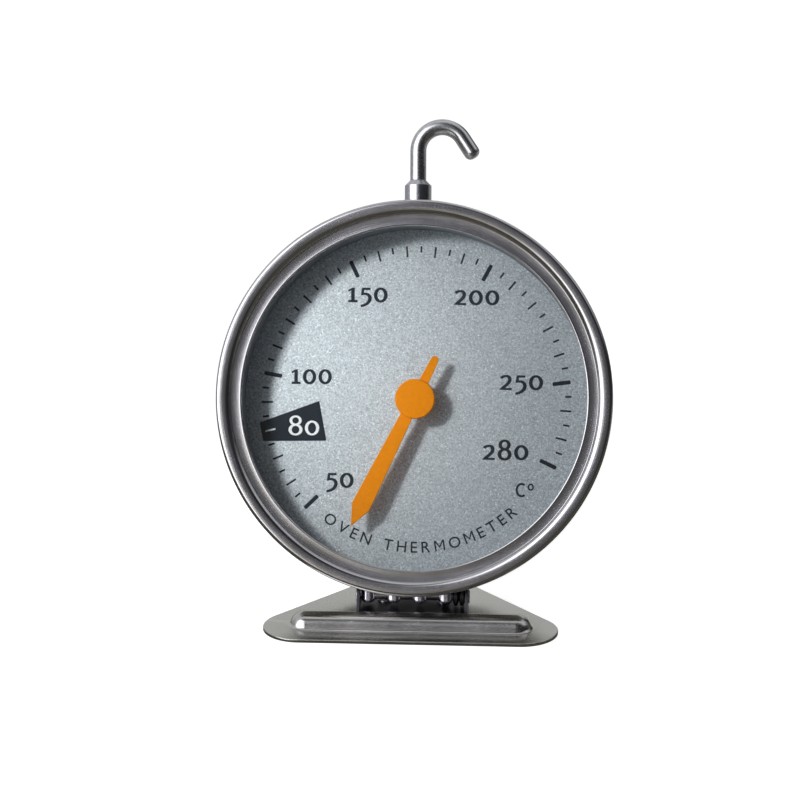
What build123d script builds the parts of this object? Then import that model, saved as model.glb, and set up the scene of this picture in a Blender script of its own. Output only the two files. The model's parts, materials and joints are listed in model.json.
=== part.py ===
from build123d import *
import math
import os

# Oven thermometer: a round head that leans back on a cross pin over a pressed foot,
# with a rod hook in a collar on top. Millimetres and degrees.
# +X is to the reader's right, +Y to the back, +Z up. The origin is on the resting
# plane, straight below the middle of the hinge pin.
# "Depth" is measured along the dial axis: 0 at the bezel's front plane, minus behind it.
# Names ending in _R are radii, _T thicknesses and _H lengths along the piece's axis.

os.makedirs("parts", exist_ok=True)

# --- fits and cutters ---
SNUG = 0.01            # radial allowance of a pressed fit
CLEAR = 0.02           # allowance of a close fit
RUNNING = 0.05         # radial allowance of a free fit
OVER = 1.0             # how far a cutter starts outside its piece
TOL = 0.01             # tolerance for picking edges by position

# --- stance of the head ---
LEAN = 20.5            # dial leans back this far from vertical
PIN_Z = 3.0            # hinge pin height above the resting plane
PIN_DROP = 35.9        # pin below the head's centre, along the dial
PIN_BACK = 11.0        # pin behind the bezel's front plane
HEAD_ROLL = 0.8        # the case sits this far anticlockwise on its hinge leaf

# --- foot ---
SHEET = 0.6            # foot sheet
BRACKET_T = 0.5        # stirrup sheet
BASE_TOP = SHEET + BRACKET_T
FOOT_R = 6.9           # rounded corners of the foot
FOOT_HALF = 19.8       # corner centres, left and right
FOOT_FRONT = -16.4     # front edge
FOOT_APEX = 14.0       # centre of the rear corner
FOOT_EDGE_ROUND = 0.18
RIB_Y = -8.8           # middle of the embossed rib
RIB_LEN = 44.4
RIB_W = 6.4
RIB_TOP = 2.8          # crest height
RIB_TAPER = 21.0
RIB_ROUND = 2.2
RIB_ROOT_ROUND = 0.8
RIB_BASE = 0.05        # the rib's solid starts inside the sheet

STIRRUP_HALF = 10.15   # outside of the cheeks
STIRRUP_Y = 3.9        # half depth of the stirrup base
STIRRUP_FOOT_H = 0.8   # straight part of the cheek's outline
CHEEK_R = 3.2          # round top of a cheek, about the pin
PIN_R = 0.79
PIN_HEAD_R = 1.25
PIN_HEAD_T = 0.32
PIN_HEAD_ROUND = 0.27

# --- rivets ---
RIVET_R = 0.8
RIVET_HOLE_R = RIVET_R + CLEAR
STIRRUP_RIVETS = ((-5.5, 2.3), (5.5, 2.3))
SINK_TAPER = 50        # countersinks in the foot

# --- tilt washers ---
WASHER_COUNT = 4
WASHER_R = 1.75
WASHER_T = 0.28
WASHER_BORE_R = PIN_R + 0.06
WASHER_START_GAP = 0.03

# --- hinge leaf ---
FINGER_X = (-8.2, -3.45, 1.3, 6.05)
FINGER_W = 2.5
FINGER_R = 1.42        # half size of a knuckle
FINGER_CORNER = 0.55
FINGER_SIDE_ROUND = 0.95
FINGER_TOP = 3.9       # finger's reach above the pin
FINGER_BORE = 0.85
LEAF_T = 0.8
LEAF_LEFT, LEAF_RIGHT = -9.4, 7.3
LEAF_FRONT, LEAF_BACK = -7.2, -16.4
LEAF_RIVET_DEPTH = -14.6
LEAF_RIVET_X = (-5.8, 3.7)
LEAF_CUT_START, LEAF_CUT_H = 31, 5     # rivet hole cutter, from the dial axis

# --- case and window ---
CASE_R = 33.6
CASE_T = 0.5
CASE_IN_R = CASE_R - CASE_T
CASE_BACK = -20.5
CASE_FRONT = -4.15
CASE_CORNER = 2.0
CASE_CUT_H = 4         # cutter through the back of the case
FLANGE_R = 35.4
FLANGE_BACK = CASE_FRONT - CASE_T
PANEL_R = 23.5         # pressed-in middle of the back
PANEL_OUT = CASE_BACK + 0.6            # its outer face
PANEL_IN = PANEL_OUT + CASE_T          # its inner face

BEZEL_R = 36.0
LIP_R = 31.3
BEZEL_BACK = -5.15
BEZEL_BACK_ROUND = 0.4
CRIMP_R = 33.68        # inner edge of the crimp behind the case flange

GLASS_R = 35.0
GLASS_FRONT, GLASS_BACK = -2.25, CASE_FRONT
GLASS_CHAMFER = 0.25
GASKET_IN, GASKET_OUT, GASKET_T = 31.7, 34.6, 0.38

WALL_R = 31.6          # inner face of the dial spacer ring
SPACER_T = 0.5
DIAL_R = 33.0
DIAL_BORE_R = 1.75
DIAL_FRONT, DIAL_BACK = -10.6, -11.1

# --- movement ---
PILLAR_CIRCLE = 29.0
PILLAR_COUNT, PILLAR_START = 4, 45
PILLAR_R = 2.0
PILLAR_TENON_R = 1.0
PILLAR_TAIL_R, PILLAR_TAIL_T, PILLAR_TAIL_ROUND = 1.9, 0.6, 0.5
BRIDGE_T = 0.8
BRIDGE_FRONT = -13.0
BRIDGE_BACK = BRIDGE_FRONT - BRIDGE_T
BRIDGE_W = 8.0
BRIDGE_LEG = 15.0
BRIDGE_FOOT = 20.5
BRIDGE_BEND = 0.7
BRIDGE_RIVETS = ((-18.0, 0), (18.0, 0))
BRIDGE_RIVET_HEAD_R, BRIDGE_RIVET_ROUND = 1.5, 0.4
BRIDGE_CUT_H = 1.2     # cutter through the bridge sheet
BRIDGE_CUT_OVER = 0.1
FRONT_BUSH_R = 1.9
REAR_BUSH_R = 1.5
REAR_BUSH_TAIL_T = 0.4
SPINDLE_R = 0.75
SPINDLE_FRONT, SPINDLE_BACK = -5.05, -18.95
SPINDLE_GROOVE_R, SPINDLE_GROOVE_W = 0.52, 0.4
SPINDLE_GROOVE_BACK = BRIDGE_BACK - 0.75
COIL_FRONT, COIL_BACK = -15.1, -18.1
COIL_T = 0.35
COIL_START = 2.2
COIL_PITCH = 1.3
COIL_TURNS = 7.0
COIL_STEPS_PER_TURN = 16
COIL_END = (0, COIL_START + COIL_PITCH * COIL_TURNS)
COLLET_R = 2.0

# --- pointer ---
POINTER_ANGLE = 243.4  # anticlockwise from the case's right
POINTER_FRONT, POINTER_BACK = -5.4, -5.8
POINTER_TIP = 26.0
POINTER_SHOULDER, POINTER_SHOULDER_HALF = 22.0, 1.76
POINTER_MIDDLE_HALF = 1.05
POINTER_TAIL, POINTER_TAIL_HALF = 8.7, 0.72
POINTER_TAIL_START = -POINTER_TAIL + 0.7   # where the rounded end begins
POINTER_BOSS_R = 2.2
POINTER_COLLET_R, POINTER_COLLET_H = 1.5, 1.6
HUB_R = 3.65
HUB_FRONT = -4.75

# --- hook; heights are from the head's centre ---
HOOK_DEPTH = -14.5
HOOK_ROD = 1.5         # rod radius
HOOK_BEND = 4.45
HOOK_SEAT = 41.25      # underside of the rod, over the collar
HOOK_CENTRE = 46.85    # height of the bend's centre
HOOK_TURN = 147.0
HOOK_LEG = 4.45
SHANK_R = 1.1
SHANK_END = 29.6
SHANK_GROOVE, SHANK_GROOVE_W, SHANK_GROOVE_R = 30.28, 0.5, 0.78
COLLAR_R = 2.5
COLLAR_START = 32.9    # below the case surface, then trimmed to it
COLLAR_TOP = 40.3
COLLAR_CONE, COLLAR_CONE_R = 41.2, 1.62
NECK_R = 2.0
NECK_END = 30.9
NUT_START, NUT_H, NUT_APOTHEM = 31.2, 1.6, 3.0

# --- frame of the head: RIGHT across it, UP along it, OUT of the dial to the reader ---
sin_lean, cos_lean = math.sin(math.radians(LEAN)), math.cos(math.radians(LEAN))
sin_roll, cos_roll = math.sin(math.radians(HEAD_ROLL)), math.cos(math.radians(HEAD_ROLL))
RIGHT = Vector(1, 0, 0)
UP = Vector(0, sin_lean, cos_lean)
OUT = Vector(0, -cos_lean, sin_lean)
CASE_RIGHT = RIGHT * cos_roll + UP * sin_roll
CASE_UP = UP * cos_roll - RIGHT * sin_roll
PIN = Vector(0, 0, PIN_Z)
CENTRE = PIN + UP * PIN_DROP + OUT * PIN_BACK
DIAL_AXIS = Axis(CENTRE, OUT)
SECTION = Plane(origin=CENTRE, x_dir=RIGHT, z_dir=UP * -1)      # x = radius, y = depth
HOOK_FOOT = CENTRE + OUT * HOOK_DEPTH
HOOK_PLANE = Plane(origin=HOOK_FOOT, x_dir=CASE_RIGHT, z_dir=OUT)  # x right, y up the hook

# Half section of the room the case takes up, (radius, depth)
CASE_ROOM = (
    (0, CASE_BACK - 2),
    (CASE_R + CLEAR, CASE_BACK - 2),
    (CASE_R + CLEAR, 2),
    (0, 2),
)


def face_plane(depth):
    """Plane parallel to the dial, squared to the case."""
    return Plane(origin=CENTRE + OUT * depth, x_dir=CASE_RIGHT, z_dir=OUT)


def hook_plane(height):
    """Plane across the hook's axis."""
    return Plane(origin=HOOK_FOOT + CASE_UP * height, x_dir=CASE_RIGHT, z_dir=CASE_UP)


def hinge_plane(x):
    """Section across the hinge pin: x = back along the head, y = up the dial."""
    return Plane(origin=PIN + RIGHT * x, x_dir=OUT * -1, z_dir=RIGHT)


def leaf_rivet_plane(x, radius):
    """Plane across a leaf rivet, at a radius from the dial axis, facing outward."""
    angle = math.asin(x / CASE_R)
    outward = RIGHT * math.sin(angle) - UP * math.cos(angle)
    origin = CENTRE + OUT * LEAF_RIVET_DEPTH + outward * radius
    return Plane(origin=origin, x_dir=OUT, z_dir=outward)


def depth_of(edge):
    return (edge.center() - CENTRE).dot(OUT)


def rims_at(builder, *depths):
    """Circular edges of a piece at the given depths."""
    return [
        e for e in builder.edges().filter_by(GeomType.CIRCLE)
        if any(abs(depth_of(e) - depth) < TOL for depth in depths)
    ]


def save(builder, name):
    builder.part.label = name
    export_step(builder.part, f"parts/{name}.step")


# ======================= foot =======================

corner_y = FOOT_FRONT + FOOT_R
with BuildPart() as foot_plate:
    with BuildSketch():
        with Locations((-FOOT_HALF, corner_y), (FOOT_HALF, corner_y), (0, FOOT_APEX)):
            Circle(FOOT_R)
        make_hull()
    extrude(amount=SHEET)
    fillet(foot_plate.faces().sort_by(Axis.Z)[-1].edges(), FOOT_EDGE_ROUND)
    # the long rib stands up from the sheet
    with BuildSketch(Plane.XY.offset(RIB_BASE)):
        with Locations((0, RIB_Y)):
            SlotOverall(RIB_LEN, RIB_W)
    extrude(amount=RIB_TOP - RIB_BASE, taper=RIB_TAPER)
    crest = foot_plate.faces().filter_by(GeomType.PLANE).sort_by(Axis.Z)[-1]
    fillet(crest.edges(), RIB_ROUND)
    rib_root = [
        e for e in foot_plate.edges()
        if abs(e.center().Z - SHEET) < 0.02
        and abs(e.center().Y - RIB_Y) < RIB_W / 2 + 0.1
        and abs(e.center().X) < RIB_LEN / 2 + 0.1
    ]
    fillet(rib_root, RIB_ROOT_ROUND)
    # hollow under the rib
    with BuildPart(mode=Mode.PRIVATE) as hollow:
        with BuildSketch(Plane.XY.offset(-0.01)):
            with Locations((0, RIB_Y)):
                SlotOverall(RIB_LEN - 2 * SHEET, RIB_W - 2 * SHEET)
        extrude(amount=RIB_TOP - SHEET + 0.01, taper=RIB_TAPER)
        roof = hollow.faces().filter_by(GeomType.PLANE).sort_by(Axis.Z)[-1]
        fillet(roof.edges(), RIB_ROUND - SHEET)
    add(hollow.part, mode=Mode.SUBTRACT)
    # holes for the stirrup's rivets, countersunk from below
    for radius, height, taper in ((RIVET_HOLE_R, SHEET, 0), (1.32, 0.4, SINK_TAPER)):
        with BuildSketch():
            with Locations(*STIRRUP_RIVETS):
                Circle(radius)
        extrude(amount=height, taper=taper, mode=Mode.SUBTRACT)
save(foot_plate, "foot_plate")

with BuildPart() as stirrup_bracket:
    # channel section: base and two cheeks, with rounded bends
    with BuildSketch(Plane.XZ.offset(-STIRRUP_Y)):
        with Locations((0, SHEET)):
            Rectangle(
                2 * STIRRUP_HALF, PIN_Z + CHEEK_R - SHEET, align=(Align.CENTER, Align.MIN)
            )
        with Locations((0, BASE_TOP)):
            Rectangle(
                2 * (STIRRUP_HALF - BRACKET_T), PIN_Z + CHEEK_R,
                align=(Align.CENTER, Align.MIN), mode=Mode.SUBTRACT,
            )
    extrude(amount=2 * STIRRUP_Y)
    for height, bend in ((SHEET, 0.9), (BASE_TOP, 0.35)):
        corners = stirrup_bracket.edges().filter_by(Axis.Y).filter_by(
            lambda e: abs(e.center().Z - height) < TOL
        )
        fillet(corners, bend)
    # cheeks narrow to a round top about the pin
    with BuildSketch(Plane.YZ.offset(-STIRRUP_HALF - OVER)):
        with Locations((0, PIN_Z)):
            Circle(CHEEK_R)
        with Locations((0, SHEET + STIRRUP_FOOT_H / 2)):
            Rectangle(2 * STIRRUP_Y, STIRRUP_FOOT_H)
        make_hull()
    extrude(amount=2 * (STIRRUP_HALF + OVER), mode=Mode.INTERSECT)
    with BuildSketch(Plane.YZ.offset(-STIRRUP_HALF - OVER)):
        with Locations((0, PIN_Z)):
            Circle(PIN_R + SNUG)
    extrude(amount=2 * (STIRRUP_HALF + OVER), mode=Mode.SUBTRACT)
    with BuildSketch():
        with Locations(*STIRRUP_RIVETS):
            Circle(RIVET_HOLE_R)
    extrude(amount=BASE_TOP + 0.1, mode=Mode.SUBTRACT)
save(stirrup_bracket, "stirrup_bracket")

rivet_bottom = 0.08
with BuildPart() as stirrup_rivets:
    with BuildSketch(Plane.XY.offset(BASE_TOP)):
        with Locations(*STIRRUP_RIVETS):
            Circle(1.25)
    extrude(amount=0.45)
    fillet(stirrup_rivets.faces().filter_by(Axis.Z).group_by(Axis.Z)[-1].edges(), 0.35)
    # shank, then the cone in the countersink
    for radius, height, taper in ((0.79, BASE_TOP - rivet_bottom, 0), (1.2, 0.3, SINK_TAPER)):
        with BuildSketch(Plane.XY.offset(rivet_bottom)):
            with Locations(*STIRRUP_RIVETS):
                Circle(radius)
        extrude(amount=height, taper=taper)
save(stirrup_rivets, "stirrup_rivets")

with BuildPart() as hinge_pin:
    with BuildSketch(Plane.YZ.offset(-STIRRUP_HALF - CLEAR)):
        with Locations((0, PIN_Z)):
            Circle(PIN_R)
    extrude(amount=2 * (STIRRUP_HALF + CLEAR))
    for side in (-1, 1):
        head_origin = PIN + RIGHT * (side * (STIRRUP_HALF + SNUG))
        with BuildSketch(Plane(origin=head_origin, x_dir=(0, 1, 0), z_dir=RIGHT * side)):
            Circle(PIN_HEAD_R)
        extrude(amount=PIN_HEAD_T)
    ends = hinge_pin.faces().filter_by(Axis.X).sort_by(Axis.X)
    fillet([ends[0].edges()[0], ends[-1].edges()[0]], PIN_HEAD_ROUND)
save(hinge_pin, "hinge_pin")

# coned spring washers between the last finger and the cheek, facing alternate ways
washer_x = FINGER_X[-1] + FINGER_W / 2 + WASHER_START_GAP
washer_step = (STIRRUP_HALF - BRACKET_T - washer_x - CLEAR) / WASHER_COUNT
cone_rise = washer_step - WASHER_T - CLEAR
with BuildPart() as tilt_friction_washers:
    for k in range(WASHER_COUNT):
        left = washer_x + k * washer_step
        if k % 2:
            bore_x, rim_x = left + cone_rise, left
        else:
            bore_x, rim_x = left, left + cone_rise
        with BuildSketch(Plane.XZ):
            with BuildLine():
                Polyline(
                    (bore_x, PIN_Z + WASHER_BORE_R),
                    (rim_x, PIN_Z + WASHER_R),
                    (rim_x + WASHER_T, PIN_Z + WASHER_R),
                    (bore_x + WASHER_T, PIN_Z + WASHER_BORE_R),
                    close=True,
                )
            make_face()
        revolve(axis=Axis(PIN, RIGHT))
save(tilt_friction_washers, "tilt_friction_washers")

# ======================= head: case and window =======================

corner_r = CASE_R - CASE_CORNER
corner_depth = CASE_BACK + CASE_CORNER
with BuildPart() as case_shell:
    with BuildSketch(SECTION):
        with BuildLine():
            Polyline(
                (0, PANEL_IN), (0, PANEL_OUT), (PANEL_R, PANEL_OUT),
                (PANEL_R + 1.2, CASE_BACK), (corner_r, CASE_BACK),
            )
            RadiusArc((corner_r, CASE_BACK), (CASE_R, corner_depth), -CASE_CORNER)
            Polyline(
                (CASE_R, corner_depth), (CASE_R, FLANGE_BACK), (FLANGE_R, FLANGE_BACK),
                (FLANGE_R, CASE_FRONT), (CASE_IN_R, CASE_FRONT), (CASE_IN_R, corner_depth),
            )
            RadiusArc(
                (CASE_IN_R, corner_depth), (corner_r, CASE_BACK + CASE_T), CASE_CORNER - CASE_T
            )
            Polyline(
                (corner_r, CASE_BACK + CASE_T), (PANEL_R + 1.0, CASE_BACK + CASE_T),
                (PANEL_R - 0.2, PANEL_IN), (0, PANEL_IN),
            )
        make_face()
    revolve(axis=DIAL_AXIS)
    # collar hole in the top
    with BuildSketch(hook_plane(30)):
        Circle(NECK_R + 0.03)
    extrude(amount=6, mode=Mode.SUBTRACT)
    # leaf rivet holes in the underside
    for x in LEAF_RIVET_X:
        with BuildSketch(leaf_rivet_plane(x, LEAF_CUT_START)):
            Circle(RIVET_HOLE_R)
        extrude(amount=LEAF_CUT_H, mode=Mode.SUBTRACT)
    # pillar, bridge and bearing holes in the back
    with BuildSketch(face_plane(CASE_BACK - OVER)):
        with PolarLocations(PILLAR_CIRCLE, PILLAR_COUNT, start_angle=PILLAR_START):
            Circle(PILLAR_TENON_R + CLEAR)
        with Locations(*BRIDGE_RIVETS):
            Circle(RIVET_HOLE_R)
        Circle(REAR_BUSH_R + CLEAR)
    extrude(amount=CASE_CUT_H, mode=Mode.SUBTRACT)
    # coil anchor hole
    with BuildSketch(face_plane(CASE_BACK - OVER)):
        with Locations(COIL_END):
            Circle(RIVET_HOLE_R)
    extrude(amount=CASE_CUT_H, mode=Mode.SUBTRACT)
save(case_shell, "case_shell")

crimp_front = FLANGE_BACK - CLEAR
bead_back = BEZEL_BACK + BEZEL_BACK_ROUND
with BuildPart() as bezel_ring:
    # (radius, depth): rounded outer bead, small step, flange in to the lip,
    # back under the bead, then the crimp behind the case flange
    with BuildSketch(SECTION):
        with BuildLine():
            Polyline((CRIMP_R, BEZEL_BACK), (BEZEL_R - BEZEL_BACK_ROUND, BEZEL_BACK))
            RadiusArc(
                (BEZEL_R - BEZEL_BACK_ROUND, BEZEL_BACK), (BEZEL_R, bead_back),
                -BEZEL_BACK_ROUND,
            )
            Line((BEZEL_R, bead_back), (BEZEL_R, -0.77))
            ThreePointArc((BEZEL_R, -0.77), (35.78, -0.235), (35.25, -0.012))
            ThreePointArc((35.25, -0.012), (34.8, 0.0), (34.3, -0.03))
            ThreePointArc((34.3, -0.03), (33.75, -0.22), (33.38, -0.62))
            Polyline((33.38, -0.62), (33.3, -0.72), (33.22, -0.735), (33.14, -0.68))
            ThreePointArc((33.14, -0.68), (32.45, -0.735), (31.6, -0.66))
            ThreePointArc((31.6, -0.66), (31.39, -0.71), (LIP_R, -0.9))
            Polyline((LIP_R, -0.9), (LIP_R, -1.6), (31.5, -1.85), (33.7, -1.85))
            ThreePointArc((33.7, -1.85), (34.4, -0.78), (35.1, -0.85))
            Polyline(
                (35.1, -0.85), (35.5, -1.45), (35.5, crimp_front),
                (CRIMP_R, crimp_front), (CRIMP_R, BEZEL_BACK),
            )
        make_face()
    revolve(axis=DIAL_AXIS)
save(bezel_ring, "bezel_ring")

with BuildPart() as lens_gasket:
    with BuildSketch(face_plane(GLASS_FRONT)):
        Circle(GASKET_OUT)
        Circle(GASKET_IN, mode=Mode.SUBTRACT)
    extrude(amount=GASKET_T)
    # trimmed where the bead hollows out, (radius, depth)
    with BuildSketch(SECTION):
        with BuildLine():
            Polyline(
                (33.6, -1.8), (33.75, -1.87), (34.9, -1.87), (34.9, -1.0), (33.6, -1.0),
                close=True,
            )
        make_face()
    revolve(axis=DIAL_AXIS, mode=Mode.SUBTRACT)
save(lens_gasket, "lens_gasket")

with BuildPart() as glass_lens:
    with BuildSketch(face_plane(GLASS_BACK)):
        Circle(GLASS_R)
    extrude(amount=GLASS_FRONT - GLASS_BACK)
    chamfer(glass_lens.edges().filter_by(GeomType.CIRCLE), GLASS_CHAMFER)
save(glass_lens, "glass_lens")

spacer_front = GLASS_BACK - CLEAR
spacer_front_in = GLASS_BACK - SPACER_T
with BuildPart() as dial_spacer_ring:
    # channel-section ring between the window and the dial, open outward
    with BuildSketch(SECTION):
        with BuildLine():
            Polyline(
                (WALL_R, spacer_front), (DIAL_R, spacer_front),
                (DIAL_R, spacer_front_in), (WALL_R + SPACER_T, spacer_front_in),
                (WALL_R + SPACER_T, DIAL_FRONT + SPACER_T), (DIAL_R, DIAL_FRONT + SPACER_T),
                (DIAL_R, DIAL_FRONT), (WALL_R, DIAL_FRONT),
                close=True,
            )
        make_face()
    revolve(axis=DIAL_AXIS)
save(dial_spacer_ring, "dial_spacer_ring")

with BuildPart() as dial_plate:
    with BuildSketch(face_plane(DIAL_BACK)):
        Circle(DIAL_R)
        Circle(DIAL_BORE_R, mode=Mode.SUBTRACT)
    extrude(amount=DIAL_FRONT - DIAL_BACK)
save(dial_plate, "dial_plate")

# ======================= head: movement =======================
# Stepped round pieces are built from rows of (back depth, length, radius).

pillar_tail = CASE_BACK - PILLAR_TAIL_T
pillar_steps = (
    (CASE_BACK + CASE_T, DIAL_BACK - CASE_BACK - CASE_T, PILLAR_R),
    (CASE_BACK, CASE_T, PILLAR_TENON_R),
    (pillar_tail, PILLAR_TAIL_T, PILLAR_TAIL_R),
)
with BuildPart() as dial_pillars:
    for back, length, radius in pillar_steps:
        with BuildSketch(face_plane(back)):
            with PolarLocations(PILLAR_CIRCLE, PILLAR_COUNT, start_angle=PILLAR_START):
                Circle(radius)
        extrude(amount=length)
    fillet(rims_at(dial_pillars, pillar_tail), PILLAR_TAIL_ROUND)
save(dial_pillars, "dial_pillars")

foot_front = PANEL_IN + BRIDGE_T
leg_in = BRIDGE_LEG - BRIDGE_T
bridge_side = Plane(origin=CENTRE - CASE_UP * (BRIDGE_W / 2), x_dir=CASE_RIGHT, z_dir=CASE_UP * -1)
with BuildPart() as movement_bridge:
    # hat section, (across, depth)
    with BuildSketch(bridge_side):
        with BuildLine():
            Polyline(
                (-BRIDGE_FOOT, PANEL_IN), (-BRIDGE_FOOT, foot_front),
                (-BRIDGE_LEG, foot_front), (-BRIDGE_LEG, BRIDGE_FRONT),
                (BRIDGE_LEG, BRIDGE_FRONT), (BRIDGE_LEG, foot_front),
                (BRIDGE_FOOT, foot_front), (BRIDGE_FOOT, PANEL_IN),
                (leg_in, PANEL_IN), (leg_in, BRIDGE_BACK),
                (-leg_in, BRIDGE_BACK), (-leg_in, PANEL_IN),
                close=True,
            )
        make_face()
    extrude(amount=-BRIDGE_W)
    bends = [
        e for e in movement_bridge.edges()
        if abs(abs(e.tangent_at(0.5).dot(CASE_UP)) - 1) < 1e-3
        and abs(abs((e.center() - CENTRE).dot(CASE_RIGHT)) - BRIDGE_LEG) < TOL
        and abs(depth_of(e) - BRIDGE_FRONT) < TOL
    ]
    fillet(bends, BRIDGE_BEND)
    with BuildSketch(face_plane(BRIDGE_BACK - BRIDGE_CUT_OVER)):
        Circle(FRONT_BUSH_R + CLEAR)
    extrude(amount=BRIDGE_CUT_H, mode=Mode.SUBTRACT)
    with BuildSketch(face_plane(PANEL_IN - BRIDGE_CUT_OVER)):
        with Locations(*BRIDGE_RIVETS):
            Circle(RIVET_HOLE_R)
    extrude(amount=BRIDGE_CUT_H, mode=Mode.SUBTRACT)
save(movement_bridge, "movement_bridge")

front_head_t, rear_head_t = 0.6, 0.5
bridge_rivet_steps = (
    (PANEL_OUT, CASE_T + BRIDGE_T, RIVET_R),
    (foot_front, front_head_t, BRIDGE_RIVET_HEAD_R),
    (PANEL_OUT - rear_head_t, rear_head_t, BRIDGE_RIVET_HEAD_R),
)
with BuildPart() as bridge_rivets:
    for back, length, radius in bridge_rivet_steps:
        with BuildSketch(face_plane(back)):
            with Locations(*BRIDGE_RIVETS):
                Circle(radius)
        extrude(amount=length)
    rims = rims_at(bridge_rivets, PANEL_OUT - rear_head_t, foot_front + front_head_t)
    fillet(rims, BRIDGE_RIVET_ROUND)
save(bridge_rivets, "bridge_rivets")

front_bush_steps = (
    (BRIDGE_BACK - 0.3, BRIDGE_T + 0.3, FRONT_BUSH_R),
    (BRIDGE_FRONT, 0.5, 2.7),
)
with BuildPart() as front_bearing_bush:
    for back, length, radius in front_bush_steps:
        with BuildSketch(face_plane(back)):
            Circle(radius)
        extrude(amount=length)
    with BuildSketch(face_plane(BRIDGE_BACK - OVER)):
        Circle(SPINDLE_R + RUNNING)
    extrude(amount=4, mode=Mode.SUBTRACT)
save(front_bearing_bush, "front_bearing_bush")

rear_bush_tail = PANEL_OUT - REAR_BUSH_TAIL_T
rear_bush_steps = (
    (PANEL_IN, 1.1, 2.4),
    (PANEL_OUT, CASE_T, REAR_BUSH_R),
    (rear_bush_tail, REAR_BUSH_TAIL_T, 2.1),
)
with BuildPart() as rear_bearing_bush:
    for back, length, radius in rear_bush_steps:
        with BuildSketch(face_plane(back)):
            Circle(radius)
        extrude(amount=length)
    fillet(rims_at(rear_bearing_bush, rear_bush_tail), 0.3)
    # blind bore, a little deeper than the spindle's end
    with BuildSketch(face_plane(SPINDLE_BACK - 0.15)):
        Circle(SPINDLE_R + RUNNING)
    extrude(amount=3, mode=Mode.SUBTRACT)
save(rear_bearing_bush, "rear_bearing_bush")


def coil_side(offset):
    """Points along the spiral, offset from its middle line."""
    sweep_angle = math.radians(360 * COIL_TURNS)
    steps = int(COIL_TURNS * COIL_STEPS_PER_TURN)
    points = []
    for k in range(steps + 1):
        theta = sweep_angle * k / steps
        radius = COIL_START + COIL_PITCH * theta / (2 * math.pi) + offset
        angle = theta + math.pi / 2
        points.append((radius * math.cos(angle), radius * math.sin(angle)))
    return points


coil_in, coil_out = coil_side(-COIL_T / 2), coil_side(COIL_T / 2)
with BuildPart() as bimetal_coil:
    with BuildSketch(face_plane(COIL_BACK)):
        with BuildLine():
            Spline(*coil_in)
            Line(coil_in[-1], coil_out[-1])
            Spline(*coil_out)
            Line(coil_out[0], coil_in[0])
        make_face()
    extrude(amount=COIL_FRONT - COIL_BACK)
save(bimetal_coil, "bimetal_coil")

anchor_steps = (
    (PANEL_IN, COIL_FRONT + 0.4 - PANEL_IN, 1.0),
    (PANEL_OUT, CASE_T, RIVET_R),
    (PANEL_OUT - 0.45, 0.45, 1.4),
)
with BuildPart() as coil_anchor_post:
    for back, length, radius in anchor_steps:
        with BuildSketch(face_plane(back)):
            with Locations(COIL_END):
                Circle(radius)
        extrude(amount=length)
    # slot that takes the coil's outer end
    with BuildSketch(face_plane(COIL_BACK - 0.05)):
        with Locations(COIL_END):
            Rectangle(4, COIL_T + 0.34)
    extrude(amount=4, mode=Mode.SUBTRACT)
save(coil_anchor_post, "coil_anchor_post")

# ======================= pointer =======================

with BuildPart() as spindle:
    with BuildSketch(face_plane(SPINDLE_BACK)):
        Circle(SPINDLE_R)
    extrude(amount=SPINDLE_FRONT - SPINDLE_BACK)
    # groove for the clip
    with BuildSketch(face_plane(SPINDLE_GROOVE_BACK)):
        Circle(SPINDLE_R + 0.5)
        Circle(SPINDLE_GROOVE_R, mode=Mode.SUBTRACT)
    extrude(amount=SPINDLE_GROOVE_W, mode=Mode.SUBTRACT)
save(spindle, "spindle")

with BuildPart() as spindle_clip:
    with BuildSketch(face_plane(SPINDLE_GROOVE_BACK + CLEAR)):
        Circle(1.8)
        Circle(SPINDLE_GROOVE_R + CLEAR, mode=Mode.SUBTRACT)
        with Locations((0, -1.4)):
            Rectangle(0.9, 2.4, mode=Mode.SUBTRACT)
    extrude(amount=SPINDLE_GROOVE_W - 2 * CLEAR)
save(spindle_clip, "spindle_clip")

collet_back = COIL_BACK + 0.1
with BuildPart() as coil_collet:
    with BuildSketch(face_plane(collet_back)):
        Circle(COLLET_R)
        Circle(SPINDLE_R + SNUG, mode=Mode.SUBTRACT)
    extrude(amount=COIL_FRONT - collet_back)
save(coil_collet, "coil_collet")

with BuildPart() as pointer_collet:
    with BuildSketch(face_plane(POINTER_BACK - POINTER_COLLET_H)):
        Circle(POINTER_COLLET_R)
        Circle(SPINDLE_R + SNUG, mode=Mode.SUBTRACT)
    extrude(amount=POINTER_COLLET_H)
save(pointer_collet, "pointer_collet")

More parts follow.
